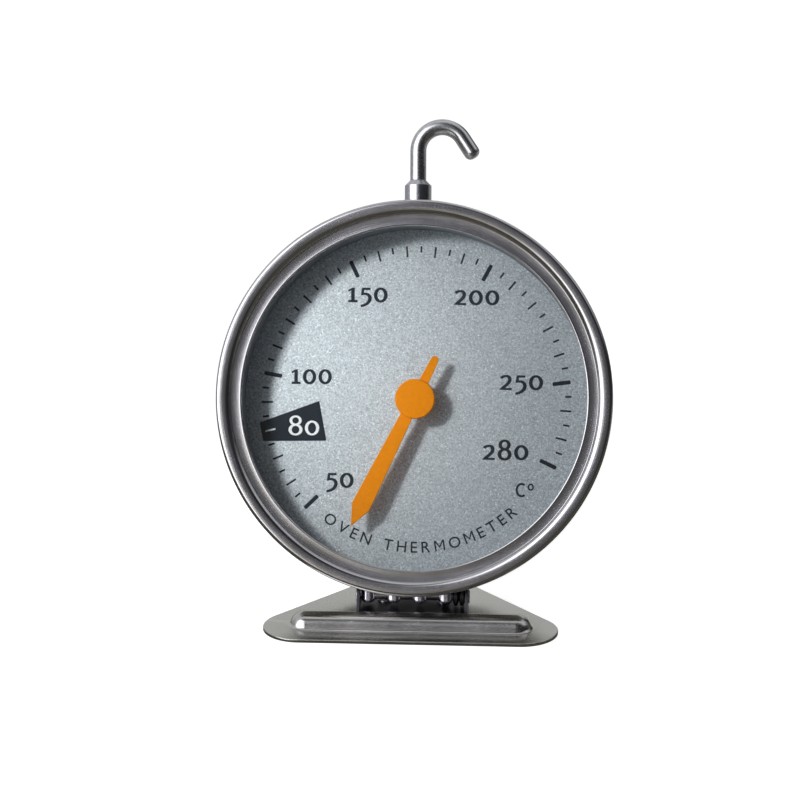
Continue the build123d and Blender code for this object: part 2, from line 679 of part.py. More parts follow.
pointer_angle = math.radians(POINTER_ANGLE)
pointer_plane = Plane(
    origin=CENTRE + OUT * POINTER_BACK,
    x_dir=CASE_RIGHT * math.cos(pointer_angle) + CASE_UP * math.sin(pointer_angle),
    z_dir=OUT,
)
with BuildPart() as pointer_needle:
    # x runs to the tip
    with BuildSketch(pointer_plane):
        with BuildLine():
            Polyline(
                (POINTER_TAIL_START, POINTER_TAIL_HALF),
                (0, POINTER_MIDDLE_HALF),
                (POINTER_SHOULDER, POINTER_SHOULDER_HALF),
                (POINTER_TIP, 0),
                (POINTER_SHOULDER, -POINTER_SHOULDER_HALF),
                (0, -POINTER_MIDDLE_HALF),
                (POINTER_TAIL_START, -POINTER_TAIL_HALF),
            )
            ThreePointArc(
                (POINTER_TAIL_START, -POINTER_TAIL_HALF),
                (-POINTER_TAIL, 0),
                (POINTER_TAIL_START, POINTER_TAIL_HALF),
            )
        make_face()
        Circle(POINTER_BOSS_R)
        Circle(SPINDLE_R + SNUG, mode=Mode.SUBTRACT)
    extrude(amount=POINTER_FRONT - POINTER_BACK)
    # front outline, without the bore
    outline = [
        e for e in pointer_needle.edges()
        if abs(depth_of(e) - POINTER_FRONT) < TOL
        and (e.center() - CENTRE - OUT * POINTER_FRONT).length > 1.5
    ]
    chamfer(outline, 0.08)
save(pointer_needle, "pointer_needle")

with BuildPart() as pointer_hub_cap:
    with BuildSketch(face_plane(POINTER_FRONT)):
        Circle(HUB_R)
    extrude(amount=HUB_FRONT - POINTER_FRONT)
    fillet(rims_at(pointer_hub_cap, HUB_FRONT), 0.3)
    # blind bore over the spindle's end
    with BuildSketch(face_plane(POINTER_FRONT)):
        Circle(SPINDLE_R + SNUG)
    extrude(amount=SPINDLE_FRONT - POINTER_FRONT + 0.03, mode=Mode.SUBTRACT)
save(pointer_hub_cap, "pointer_hub_cap")

# ======================= head: collar and leaf =======================

with BuildPart() as hook_bush:
    # collar trimmed to the case, cone on top, neck through the wall
    with BuildSketch(hook_plane(COLLAR_START)):
        Circle(COLLAR_R)
    extrude(amount=COLLAR_TOP - COLLAR_START)
    with BuildSketch(SECTION):
        with BuildLine():
            Polyline(*CASE_ROOM, close=True)
        make_face()
    revolve(axis=DIAL_AXIS, mode=Mode.SUBTRACT)
    with BuildSketch(HOOK_PLANE):
        with BuildLine():
            Polyline(
                (0, COLLAR_TOP), (COLLAR_R, COLLAR_TOP),
                (COLLAR_CONE_R, COLLAR_CONE), (0, COLLAR_CONE),
                close=True,
            )
        make_face()
    revolve(axis=Axis(HOOK_FOOT, CASE_UP))
    with BuildSketch(hook_plane(NECK_END)):
        Circle(NECK_R)
    extrude(amount=COLLAR_TOP - NECK_END)
    with BuildSketch(hook_plane(NECK_END - OVER)):
        Circle(SHANK_R + RUNNING)
    extrude(amount=COLLAR_CONE - NECK_END + 2 * OVER, mode=Mode.SUBTRACT)
save(hook_bush, "hook_bush")

with BuildPart() as hook_bush_nut:
    with BuildSketch(hook_plane(NUT_START)):
        RegularPolygon(NUT_APOTHEM, 6, major_radius=False)
        Circle(NECK_R + CLEAR, mode=Mode.SUBTRACT)
    extrude(amount=NUT_H)
save(hook_bush_nut, "hook_bush_nut")

# one finger, about x = 0, placed four times on the leaf
with BuildPart() as leaf_finger:
    with BuildSketch(hinge_plane(-FINGER_W / 2)):
        RectangleRounded(2 * FINGER_R, 2 * FINGER_R, FINGER_CORNER)
        Rectangle(2 * FINGER_R, FINGER_TOP, align=(Align.CENTER, Align.MIN))
    extrude(amount=FINGER_W)
    # side edges, all but those at the finger's top
    fillet(
        leaf_finger.faces().filter_by(Axis.X).edges().filter_by(
            lambda e: (e.center() - PIN).dot(UP) < 3.5
        ),
        FINGER_SIDE_ROUND,
    )

with BuildPart() as hinge_leaf:
    # saddle that follows the case
    with BuildSketch(Plane(origin=CENTRE + OUT * LEAF_BACK, x_dir=RIGHT, z_dir=OUT)):
        Circle(CASE_R + LEAF_T)
        Circle(CASE_R + CLEAR, mode=Mode.SUBTRACT)
        with Locations(((LEAF_LEFT + LEAF_RIGHT) / 2, -CASE_R)):
            Rectangle(LEAF_RIGHT - LEAF_LEFT, 8, mode=Mode.INTERSECT)
    extrude(amount=LEAF_FRONT - LEAF_BACK)
    # four fingers down to the pin, trimmed to the case
    with Locations(*[(x, 0, 0) for x in FINGER_X]):
        add(leaf_finger.part)
    with BuildSketch(SECTION):
        with BuildLine():
            Polyline(*CASE_ROOM, close=True)
        make_face()
    revolve(axis=DIAL_AXIS, mode=Mode.SUBTRACT)
    with BuildSketch(hinge_plane(-STIRRUP_HALF - OVER)):
        Circle(FINGER_BORE)
    extrude(amount=2 * (STIRRUP_HALF + OVER), mode=Mode.SUBTRACT)
    for x in LEAF_RIVET_X:
        with BuildSketch(leaf_rivet_plane(x, LEAF_CUT_START)):
            Circle(RIVET_HOLE_R)
        extrude(amount=LEAF_CUT_H, mode=Mode.SUBTRACT)
save(hinge_leaf, "hinge_leaf")

# (start from the dial axis, length, radius): shank, outer head, inner head
leaf_rivet_steps = (
    (32.5, 2.4, RIVET_R),
    (CASE_R + LEAF_T + 0.03, 0.45, 1.3),
    (32.45, 0.58, 1.2),
)
with BuildPart() as leaf_rivets:
    for x in LEAF_RIVET_X:
        for start, length, radius in leaf_rivet_steps:
            with BuildSketch(leaf_rivet_plane(x, start)):
                Circle(radius)
            extrude(amount=length)
save(leaf_rivets, "leaf_rivets")

# ======================= hook =======================

bend_angle = math.radians(180 - HOOK_TURN)
bend_end = (
    HOOK_BEND + HOOK_BEND * math.cos(bend_angle),
    HOOK_CENTRE + HOOK_BEND * math.sin(bend_angle),
)
tip = (
    bend_end[0] + HOOK_LEG * math.sin(bend_angle),
    bend_end[1] - HOOK_LEG * math.cos(bend_angle),
)
tip_point = HOOK_FOOT + CASE_RIGHT * tip[0] + CASE_UP * tip[1]
seat_point = HOOK_FOOT + CASE_UP * HOOK_SEAT
with BuildPart() as hanging_hook:
    with BuildLine(HOOK_PLANE):
        Line((0, HOOK_SEAT), (0, HOOK_CENTRE))
        CenterArc((HOOK_BEND, HOOK_CENTRE), HOOK_BEND, 180, -HOOK_TURN)
        Line(bend_end, tip)
    with BuildSketch(hook_plane(HOOK_SEAT)):
        Circle(HOOK_ROD)
    sweep()
    fillet(hanging_hook.edges().filter_by(GeomType.CIRCLE).sort_by_distance(tip_point)[0], 1.2)
    chamfer(hanging_hook.edges().filter_by(GeomType.CIRCLE).sort_by_distance(seat_point)[0], 0.08)
    # thinner shank inside the collar, grooved for its clip
    with BuildSketch(hook_plane(SHANK_END)):
        Circle(SHANK_R)
    extrude(amount=HOOK_SEAT - SHANK_END)
    with BuildSketch(hook_plane(SHANK_GROOVE)):
        Circle(SHANK_R + 0.5)
        Circle(SHANK_GROOVE_R, mode=Mode.SUBTRACT)
    extrude(amount=SHANK_GROOVE_W, mode=Mode.SUBTRACT)
save(hanging_hook, "hanging_hook")

with BuildPart() as hook_retaining_clip:
    with BuildSketch(hook_plane(SHANK_GROOVE + CLEAR)):
        Circle(2.2)
        Circle(SHANK_GROOVE_R + 0.03, mode=Mode.SUBTRACT)
        with Locations((0, -1.6)):
            Rectangle(1.3, 2.4, mode=Mode.SUBTRACT)
    extrude(amount=0.44)
save(hook_retaining_clip, "hook_retaining_clip")
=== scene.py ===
"""A hanging or standing oven thermometer: a round steel case with a printed dial, an orange
pointer, a hook above and a hinged foot below.

The row frame is in metres with +Z up, and the dial looks towards -Y. The head frame used for
the bezel and the print is in mm: its origin is on the dial axis at the bezel's front plane,
x to the right, y up along the dial and z out of the dial.
"""
import bpy, bmesh, json, math
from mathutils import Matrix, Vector


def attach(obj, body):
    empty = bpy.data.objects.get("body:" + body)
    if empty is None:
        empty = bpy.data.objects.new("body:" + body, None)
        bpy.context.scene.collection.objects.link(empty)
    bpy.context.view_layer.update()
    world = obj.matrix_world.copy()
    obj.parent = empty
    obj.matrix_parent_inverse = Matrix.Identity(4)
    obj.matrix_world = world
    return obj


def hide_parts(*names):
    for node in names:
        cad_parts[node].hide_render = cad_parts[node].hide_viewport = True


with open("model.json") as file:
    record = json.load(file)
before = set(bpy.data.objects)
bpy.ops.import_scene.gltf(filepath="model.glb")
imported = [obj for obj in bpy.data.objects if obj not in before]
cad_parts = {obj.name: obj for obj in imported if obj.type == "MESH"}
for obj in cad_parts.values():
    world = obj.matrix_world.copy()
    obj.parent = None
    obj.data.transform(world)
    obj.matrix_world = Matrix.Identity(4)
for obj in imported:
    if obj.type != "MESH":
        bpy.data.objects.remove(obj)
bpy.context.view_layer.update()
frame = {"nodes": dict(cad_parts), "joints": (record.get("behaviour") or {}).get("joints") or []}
NODES = frame["nodes"]
MM = 0.001

# ================================================================ head frame
joints = {j["name"]: j for j in frame["joints"]}
OUT = -Vector(joints["pointer_spin"]["axis"]).normalized()
UP = Vector(joints["hook_swivel"]["axis"]).normalized()
RIGHT = UP.cross(OUT).normalized()
POINTER = Vector(joints["pointer_spin"]["pos_m"])


def front_depth(node):
    """Distance of a node's front face along OUT from the pointer joint, metres."""
    return max((v.co - POINTER).dot(OUT) for v in NODES[node].data.vertices)


CENTRE = POINTER + OUT * front_depth("bezel_ring")


def head_point(x, y, z):
    """Head frame (mm) to row frame (m)."""
    return CENTRE + RIGHT * (x * MM) + UP * (y * MM) + OUT * (z * MM)


# Turning axes of the round pieces: a point and a direction.
DIAL_AXIS = (CENTRE, OUT)
HOOK_AXIS = (Vector(joints["hook_swivel"]["pos_m"]), UP)
PIN_AXIS = (Vector(joints["tilt_hinge"]["pos_m"]), Vector((1, 0, 0)))


# ================================================================ node trees
class Net:
    """Writes a node tree. Inputs may be sockets, numbers or tuples."""

    def __init__(self, tree):
        self.tree = tree
        tree.nodes.clear()

    def node(self, kind, **settings):
        made = self.tree.nodes.new(kind)
        for key, value in settings.items():
            setattr(made, key, value)
        return made

    def put(self, socket, value):
        """Links or sets an input; None leaves it alone, and a colour gets its alpha."""
        if value is None:
            return
        if isinstance(value, bpy.types.NodeSocket):
            self.tree.links.new(value, socket)
            return
        if isinstance(value, (tuple, Vector)):
            value = tuple(value)
            if len(value) == 3 and len(socket.default_value) == 4:
                value += (1.0,)
        socket.default_value = value

    def filled(self, kind, inputs, **settings):
        """A node with the inputs given as {socket name or index: value}."""
        made = self.node(kind, **settings)
        for key, value in inputs.items():
            self.put(made.inputs[key], value)
        return made

    def math(self, operation, a, b=None):
        return self.filled("ShaderNodeMath", {0: a, 1: b}, operation=operation).outputs[0]

    def add(self, first, *rest):
        """Sum of two or more terms, added from the last one back."""
        return self.math("ADD", first, self.add(*rest) if len(rest) > 1 else rest[0])

    def sub(self, a, b):
        return self.math("SUBTRACT", a, b)

    def mul(self, a, b):
        return self.math("MULTIPLY", a, b)

    def degrees(self, angle):
        return self.mul(angle, 180 / math.pi)

    def vmath(self, operation, a, b=None):
        second = "Scale" if operation == "SCALE" else 1
        made = self.filled("ShaderNodeVectorMath", {0: a, second: b}, operation=operation)
        return made.outputs["Vector"]

    def dot(self, a, b):
        made = self.filled("ShaderNodeVectorMath", {0: a, 1: b}, operation="DOT_PRODUCT")
        return made.outputs["Value"]

    def vector(self, x, y, z):
        return self.filled("ShaderNodeCombineXYZ", {0: x, 1: y, 2: z}).outputs[0]

    def noise(self, place, scale=1.0, detail=2.0, rough=0.5, distort=0.0):
        return self.filled("ShaderNodeTexNoise", {
            "Vector": place, "Scale": scale, "Detail": detail,
            "Roughness": rough, "Distortion": distort}).outputs[0]

    def cells(self, place, scale):
        """A random colour for each Voronoi cell."""
        made = self.filled("ShaderNodeTexVoronoi", {"Vector": place, "Scale": scale})
        return made.outputs["Color"]

    def remap(self, value, source, target=(0.0, 1.0), smooth=False):
        """Carries the range source to the range target, clamped."""
        return self.filled(
            "ShaderNodeMapRange", dict(enumerate((value, *source, *target))), clamp=True,
            interpolation_type="SMOOTHSTEP" if smooth else "LINEAR").outputs[0]

    def spread(self, noise, low=0.0, high=1.0):
        """Carries a noise's usual range, 0.3 to 0.7, to low ... high."""
        return self.remap(noise, (0.3, 0.7), (low, high))

    def mix(self, factor, a, b):
        made = self.filled("ShaderNodeMix", {}, data_type="RGBA")
        for index, value in ((0, factor), (6, a), (7, b)):
            self.put(made.inputs[index], value)
        return made.outputs[2]

    def brighten(self, colour, value):
        inputs = {"Color": colour, "Value": value}
        return self.filled("ShaderNodeHueSaturation", inputs).outputs[0]

    def bump(self, height, depth, strength):
        """Normal from a height; depth is in metres."""
        inputs = {"Height": height, "Distance": depth, "Strength": strength}
        return self.filled("ShaderNodeBump", inputs).outputs[0]

    def coords(self):
        return self.node("ShaderNodeTexCoord").outputs["Object"]

    def coords_mm(self, origin=None):
        place = self.coords()
        if origin is not None:
            place = self.vmath("SUBTRACT", place, tuple(origin))
        return self.vmath("SCALE", place, 1 / MM)

    def dial_plane(self):
        """Position on the dial in mm: x right, y up, z zero."""
        place = self.coords_mm(CENTRE)
        x = self.dot(place, RIGHT)
        y = self.dot(place, OUT.normalized().cross(RIGHT).normalized())
        return self.vector(x, y, 0.0)

    def to_world(self, direction):
        return self.filled("ShaderNodeVectorTransform", {0: direction}, vector_type="VECTOR",
                           convert_from="OBJECT", convert_to="WORLD").outputs[0]

    def mix_shader(self, factor, a, b):
        return self.filled("ShaderNodeMixShader", {0: factor, 1: a, 2: b}).outputs[0]

    def output(self, surface, kind="ShaderNodeOutputMaterial"):
        self.filled(kind, {0: surface})

    def principled(self, base, metallic, rough, normal, **extra):
        """The surface and its output; extra names other inputs, with _ for a space."""
        inputs = {"Base Color": base, "Metallic": metallic, "Roughness": rough,
                  "Normal": normal}
        inputs.update({key.replace("_", " "): value for key, value in extra.items()})
        self.output(self.filled("ShaderNodeBsdfPrincipled", inputs).outputs[0])


def material(name):
    made = bpy.data.materials.new(name)
    made.use_nodes = True
    return made, Net(made.node_tree)


def scaled(colour, factor):
    return tuple(c * factor for c in colour)


# ================================================================ metals
def turned(name, turning_axis, base, rough, aniso, lines, grain=1.0, tint=(0.98, 0.97, 1.0)):
    """Metal spun or drawn about an axis: fine rings, slow cloudiness, tiny pits.

    lines sets how close the rings lie, grain the bump's depth, tint the cloudy patches' colour.
    """
    made, net = material(name)
    origin, axis = turning_axis
    along = axis.normalized()
    side = along.orthogonal().normalized()
    place = net.coords_mm(origin)
    x, y, z = (net.dot(place, v) for v in (side, along.cross(side).normalized(), along))
    radius = net.math("SQRT", net.add(net.mul(x, x), net.mul(y, y)))
    angle = net.math("ARCTAN2", y, x)
    cosine, sine = net.math("COSINE", angle), net.math("SINE", angle)

    def ring_noise(around, across, detail, rough):
        """Noise stretched round the axis; around and across are its scales."""
        stretched = net.vector(net.mul(cosine, around), net.mul(sine, around),
                               net.mul(net.add(radius, z), across))
        return net.noise(stretched, detail=detail, rough=rough)

    rings = ring_noise(around=1.6, across=lines, detail=3.0, rough=0.6)
    wide = ring_noise(around=2.4, across=4.0, detail=2.0, rough=0.5)
    cloud = net.noise(place, scale=0.16, detail=3.0, rough=0.55)
    pits = net.remap(net.noise(place, scale=6.0), (0.66, 0.78))

    tinted = tuple(c * t for c, t in zip(base, tint))
    colour = net.mix(net.remap(cloud, (0.35, 0.65)), scaled(base, 0.95), tinted)
    value = net.add(1.0, net.spread(rings, -0.05, 0.05), net.spread(wide, -0.05, 0.05))
    roughness = net.add(rough, net.spread(rings, -0.03, 0.04), net.spread(cloud, -0.03, 0.04),
                        net.mul(pits, 0.12))
    height = net.add(net.mul(rings, 0.7), net.mul(wide, 0.6), net.mul(pits, -0.6))

    offset = net.vmath("SUBTRACT", net.coords(), tuple(origin))
    tangent = net.vmath("NORMALIZE", net.vmath("CROSS_PRODUCT", tuple(axis), offset))
    net.principled(net.brighten(colour, value), 1.0, roughness,
                   net.bump(height, depth=0.000012 * grain, strength=0.55),
                   Anisotropic=aniso, Tangent=net.to_world(tangent))
    return made


def sheet(name, base, rough, along, stretch, smudge=0.06, grain=1.0, aniso=0.25):
    """Rolled sheet: grain along one way, smudges, small scratches, and a painted highlight:
    brighter convex edges.

    stretch is how far the grain is drawn out, smudge how strong the blotches are and grain
    the bump's depth.
    """
    made, net = material(name)
    place = net.coords_mm()
    along = Vector(along).normalized()
    side = along.orthogonal().normalized()
    u, v, w = (net.dot(place, d) for d in (along, side, along.cross(side).normalized()))
    drawn_out = net.vector(net.mul(u, 1.0 / stretch), v, w)
    fine = net.noise(drawn_out, scale=22.0, detail=3.0, rough=0.6)
    medium = net.noise(drawn_out, scale=5.0)
    blot = net.noise(place, scale=0.13, detail=3.0, rough=0.6, distort=0.4)
    fleck = net.remap(net.noise(place, scale=3.4, rough=0.6), (0.62, 0.75))

    # Scratches: thin contour lines of a skewed, stretched noise, only where the blotches are.
    SKEW = 0.35
    skewed = net.vector(net.mul(net.add(u, net.mul(v, SKEW)), 0.07),
                        net.mul(net.sub(v, net.mul(u, SKEW)), 3.2), w)
    contour = net.math("ABSOLUTE", net.sub(net.noise(skewed, detail=1.0), 0.5))
    scratch = net.mul(net.remap(contour, (0.0, 0.012), (1.0, 0.0)),
                      net.remap(blot, (0.5, 0.62)))

    edges = net.node("ShaderNodeNewGeometry").outputs["Pointiness"]
    value = net.add(1.0, net.spread(fine, -0.06, 0.06), net.spread(medium, -0.04, 0.04),
                    net.spread(blot, -smudge, smudge))
    # Painted highlight: convex edges get a brighter base colour, as if they were catching the
    # light.
    value = net.add(value, net.remap(edges, (0.52, 0.6), (0.0, 0.12)))
    roughness = net.add(rough, net.spread(fine, -0.03, 0.03), net.spread(blot, -0.05, 0.06),
                        net.sub(net.mul(fleck, 0.08), net.mul(scratch, 0.05)))
    height = net.add(net.mul(fine, 0.8), net.mul(medium, 0.5), net.mul(scratch, -0.8),
                     net.mul(fleck, -0.3))
    net.principled(net.brighten(base, value), 1.0, roughness,
                   net.bump(height, depth=0.00001 * grain, strength=0.5),
                   Anisotropic=aniso, Tangent=net.to_world(along))
    return made


# ================================================================ other materials
def rubber(name, base):
    made, net = material(name)
    grain = net.noise(net.coords_mm(), scale=5.0, detail=3.0, rough=0.6)
    colour = net.mix(net.spread(grain), scaled(base, 0.8), scaled(base, 1.25))
    net.principled(colour, 0.0, net.spread(grain, 0.55, 0.75),
                   net.bump(grain, depth=0.00003, strength=0.6))
    return made


def dial_paint(name):
    """Silver-blue metallic lacquer: light and dark flakes, a sparkle, soft cloudiness."""
    made, net = material(name)
    place = net.dial_plane()
    flakes = net.cells(place, scale=4.2)
    small_flakes = net.cells(place, scale=8.5)
    large = net.filled("ShaderNodeSeparateColor", {0: flakes}).outputs
    small = net.filled("ShaderNodeSeparateColor", {0: small_flakes}).outputs
    grain = net.noise(place, scale=5.0, detail=3.0, rough=0.65)
    cloud = net.noise(place, scale=0.11)
    shade = net.add(net.mul(net.sub(large[0], 0.5), 0.48), net.mul(net.sub(small[1], 0.5), 0.42))
    sparkle = net.remap(large[2], (0.90, 1.0), (0.0, 0.42))
    dark = net.remap(small[0], (0.90, 1.0), (0.0, 0.22))
    value = net.add(net.add(1.0, shade, net.sub(sparkle, dark)),
                    net.spread(grain, -0.06, 0.06), net.spread(cloud, -0.02, 0.02))
    # The flakes lie at small random angles.
    tilt = net.vmath("SCALE", net.vmath("SUBTRACT", flakes, (0.5, 0.5, 0.5)), 0.12)
    face = net.node("ShaderNodeNewGeometry").outputs["Normal"]
    net.principled(net.brighten((0.59, 0.638, 0.676), value), 0.18,
                   net.spread(grain, 0.42, 0.52),
                   net.vmath("NORMALIZE", net.vmath("ADD", face, tilt)),
                   Specular_IOR_Level=0.4)
    return made


def printed(name, base, rough):
    """Screen-printed ink: slight thickness change and a faint grain."""
    made, net = material(name)
    grain = net.noise(net.dial_plane(), scale=5.0, detail=3.0, rough=0.6)
    colour = net.mix(net.spread(grain), scaled(base, 0.82), scaled(base, 1.18))
    net.principled(colour, 0.0, net.spread(grain, rough - 0.05, rough + 0.1),
                   net.bump(grain, depth=0.00001, strength=0.4), Specular_IOR_Level=0.35)
    return made


def orange_paint(name):
    made, net = material(name)
    place = net.coords_mm()
    soft = net.noise(place, scale=1.6, detail=3.0)
    fine = net.noise(place, scale=9.0)
    colour = net.mix(net.spread(soft), (0.90, 0.268, 0.0014), (0.96, 0.298, 0.002))
    height = net.add(net.mul(soft, 0.5), net.mul(fine, 0.35))
    net.principled(colour, 0.0, net.spread(fine, 0.38, 0.5),
                   net.bump(height, depth=0.00003, strength=0.5), Specular_IOR_Level=0.25)
    return made


def window_glass(name):
    """Clear flat window: light goes straight through; a thin sheen and faint smears remain."""
    made, net = material(name)
    smear = net.noise(net.coords_mm(), scale=0.09, detail=3.0, rough=0.6, distort=0.6)
    fresnel = net.filled("ShaderNodeFresnel", {"IOR": 1.48})
    sheen = net.filled("ShaderNodeBsdfGlossy", {
        "Color": (0.95, 1.0, 1.0), "Roughness": net.spread(smear, 0.01, 0.05)})
    clear = net.filled("ShaderNodeBsdfTransparent", {
        "Color": net.mix(net.spread(smear), (0.985, 0.995, 0.992), (0.995, 1.0, 0.998))})
    # Shadow and diffuse rays meet no sheen.
    ray = net.node("ShaderNodeLightPath").outputs
    keep = net.sub(1.0, net.math("MAXIMUM", ray["Is Shadow Ray"], ray["Is Diffuse Ray"]))
    factor = net.mul(net.mul(fresnel.outputs[0], 0.55), keep)
    net.output(net.mix_shader(factor, clear.outputs[0], sheen.outputs[0]))
    return made


ACROSS = (1, 0, 0)      # sheet grain along the row frame's X
MATERIALS = {
    "bezel": turned("bezel_turned_steel", DIAL_AXIS, (0.755, 0.75, 0.755),
                    rough=0.14, aniso=0.35, lines=46.0),
    "case": turned("case_drawn_steel", DIAL_AXIS, (0.70, 0.69, 0.68),
                   rough=0.24, aniso=0.4, lines=26.0, grain=1.2),
    "hook": turned("hook_drawn_rod", HOOK_AXIS, (0.76, 0.77, 0.78),
                   rough=0.25, aniso=0.0, lines=3.0, grain=0.6),
    "collar": turned("collar_turned_steel", HOOK_AXIS, (0.74, 0.75, 0.78),
                     rough=0.20, aniso=0.3, lines=22.0, grain=0.9),
    "foot": sheet("foot_pressed_sheet", (0.68, 0.67, 0.65), rough=0.20, along=ACROSS,
                  stretch=16.0, smudge=0.012, grain=0.35, aniso=0.3),
    "leaf": sheet("leaf_bright_sheet", (0.86, 0.85, 0.92), rough=0.26, along=UP,
                  stretch=10.0, smudge=0.05, grain=0.8),
    "stirrup": sheet("stirrup_blued_sheet", (0.13, 0.125, 0.15), rough=0.34, along=ACROSS,
                     stretch=10.0),
    "pin": turned("pin_ground_steel", PIN_AXIS, (0.70, 0.69, 0.68),
                  rough=0.2, aniso=0.3, lines=18.0, grain=0.8),
    "rivets_foot": sheet("rivet_headed_steel_foot", (0.68, 0.67, 0.66), rough=0.22,
                         along=(0, 0, 1), stretch=3.0, grain=1.2),
    "rivets_head": sheet("rivet_headed_steel_head", (0.68, 0.67, 0.66), rough=0.22,
                         along=OUT, stretch=3.0, grain=1.2),
    "washer": turned("washer_spring_steel", PIN_AXIS, (0.12, 0.115, 0.12),
                     rough=0.35, aniso=0.3, lines=10.0),
    "inner": sheet("inner_plain_sheet", (0.36, 0.37, 0.39), rough=0.5, along=RIGHT,
                   stretch=8.0, smudge=0.08, grain=1.5),
    # Spacer ring wall: dark steel whose dark base colour is partly painted shade, for the wall
    # that lies in the bezel's shadow.
    "wall": turned("spacer_ring_dark_steel_and_painted_shade", DIAL_AXIS, (0.30, 0.31, 0.33),
                   rough=0.55, aniso=0.2, lines=14.0, grain=2.0),
    "brass": turned("turned_brass", DIAL_AXIS, (0.72, 0.52, 0.22),
                    rough=0.25, aniso=0.3, lines=20.0, tint=(1.0, 0.98, 0.9)),
    "brass_post": sheet("post_brass", (0.72, 0.52, 0.22), rough=0.27, along=OUT, stretch=4.0),
    "spindle": turned("spindle_ground_steel", DIAL_AXIS, (0.60, 0.60, 0.62),
                      rough=0.2, aniso=0.4, lines=18.0),
    "clip": sheet("clip_spring_steel", (0.40, 0.41, 0.45), rough=0.28, along=RIGHT,
                  stretch=6.0),
    "nut": sheet("nut_milled_steel", (0.62, 0.61, 0.60), rough=0.26, along=UP, stretch=5.0),
    "bimetal": sheet("bimetal_strip", (0.55, 0.47, 0.36), rough=0.3, along=OUT,
                     stretch=0.3, smudge=0.10, grain=1.2),
    "gasket": rubber("gasket_black", (0.02, 0.02, 0.022)),
    "dial": dial_paint("dial_silver_lacquer"),
    "ink": printed("dial_dark_ink", (0.012, 0.017, 0.024), rough=0.45),
    "ink_white": printed("dial_white_ink", (0.80, 0.82, 0.82), rough=0.5),
    "orange": orange_paint("pointer_orange_paint"),
    "glass": window_glass("window_clear_glass"),
}

# The material of each CAD piece.
LOOKS = {
    "bezel_ring": "bezel", "case_shell": "case", "hanging_hook": "hook",
    "hook_bush": "collar", "hook_bush_nut": "nut", "hook_retaining_clip": "clip",
    "foot_plate": "foot", "stirrup_bracket": "stirrup", "stirrup_rivets": "rivets_foot",
    "hinge_pin": "pin", "tilt_friction_washers": "washer", "lens_gasket": "gasket",
    "glass_lens": "glass", "dial_spacer_ring": "wall", "dial_plate": "dial",
    "dial_pillars": "rivets_head", "movement_bridge": "inner",
    "bridge_rivets": "rivets_head", "front_bearing_bush": "brass",
    "rear_bearing_bush": "brass", "bimetal_coil": "bimetal",
    "coil_anchor_post": "brass_post", "hinge_leaf": "leaf", "leaf_rivets": "rivets_head",
    "pointer_needle": "orange", "pointer_hub_cap": "orange", "pointer_collet": "brass",
    "spindle": "spindle", "coil_collet": "brass", "spindle_clip": "clip",
}
for piece, look in LOOKS.items():
    slots = NODES[piece].data.materials
    slots.clear()
    slots.append(MATERIALS[look])


# ================================================================ mesh helpers
def new_object(name, verts, faces, mat):
    mesh = bpy.data.meshes.new(name)
    mesh.from_pydata([tuple(v) for v in verts], [], faces)
    mesh.validate()
    mesh.update()
    made = bpy.data.objects.new(name, mesh)
    bpy.context.scene.collection.objects.link(made)
    mesh.materials.append(mat)
    return made


def face_outwards(made):
    bm = bmesh.new()
    bm.from_mesh(made.data)
    bmesh.ops.recalc_face_normals(bm, faces=bm.faces)
    bm.to_mesh(made.data)
    bm.free()


def unwrapped(angle, reference):
    """The same angle, moved by whole turns to within half a turn of the reference."""
    while angle - reference > math.pi:
        angle -= 2 * math.pi
    while angle - reference < -math.pi:
        angle += 2 * math.pi
    return angle


def arc_through(start, middle, end, steps):
    """Points on the circle through three points, without the first."""
    (ax, ay), (bx, by), (cx, cy) = start, middle, end
    a_sq, b_sq, c_sq = ax * ax + ay * ay, bx * bx + by * by, cx * cx + cy * cy
    d = 2 * (ax * (by - cy) + bx * (cy - ay) + cx * (ay - by))
    x0 = (a_sq * (by - cy) + b_sq * (cy - ay) + c_sq * (ay - by)) / d
    y0 = (a_sq * (cx - bx) + b_sq * (ax - cx) + c_sq * (bx - ax)) / d
    radius = math.hypot(ax - x0, ay - y0)
    first, mid, last = (math.atan2(y - y0, x - x0) for x, y in (start, middle, end))
    last = unwrapped(last, unwrapped(mid, first))
    angles = [first + (last - first) * i / steps for i in range(1, steps + 1)]
    return [(x0 + radius * math.cos(a), y0 + radius * math.sin(a)) for a in angles]


def lathe(name, profile, mat, segments, sharp_deg):
    """Closed (radius, z) profile in mm, turned about the dial axis; smooth but for corners."""
    count = len(profile)
    verts, faces = [], []
    for k in range(segments):
        angle = 2 * math.pi * k / segments
        cosine, sine = math.cos(angle), math.sin(angle)
        verts += [head_point(r * cosine, r * sine, z) for r, z in profile]
        here, there = k * count, (k + 1) % segments * count
        for i in range(count):
            j = (i + 1) % count
            faces.append((here + i, there + i, there + j, here + j))
    made = new_object(name, verts, faces, mat)
    mesh = made.data
    mesh.polygons.foreach_set("use_smooth", [True] * len(mesh.polygons))
    face_outwards(made)
    bm = bmesh.new()
    bm.from_mesh(mesh)
    for e in bm.edges:
        if len(e.link_faces) == 2 and e.calc_face_angle(0.0) > math.radians(sharp_deg):
            e.smooth = False
    bm.to_mesh(mesh)
    bm.free()
    return made


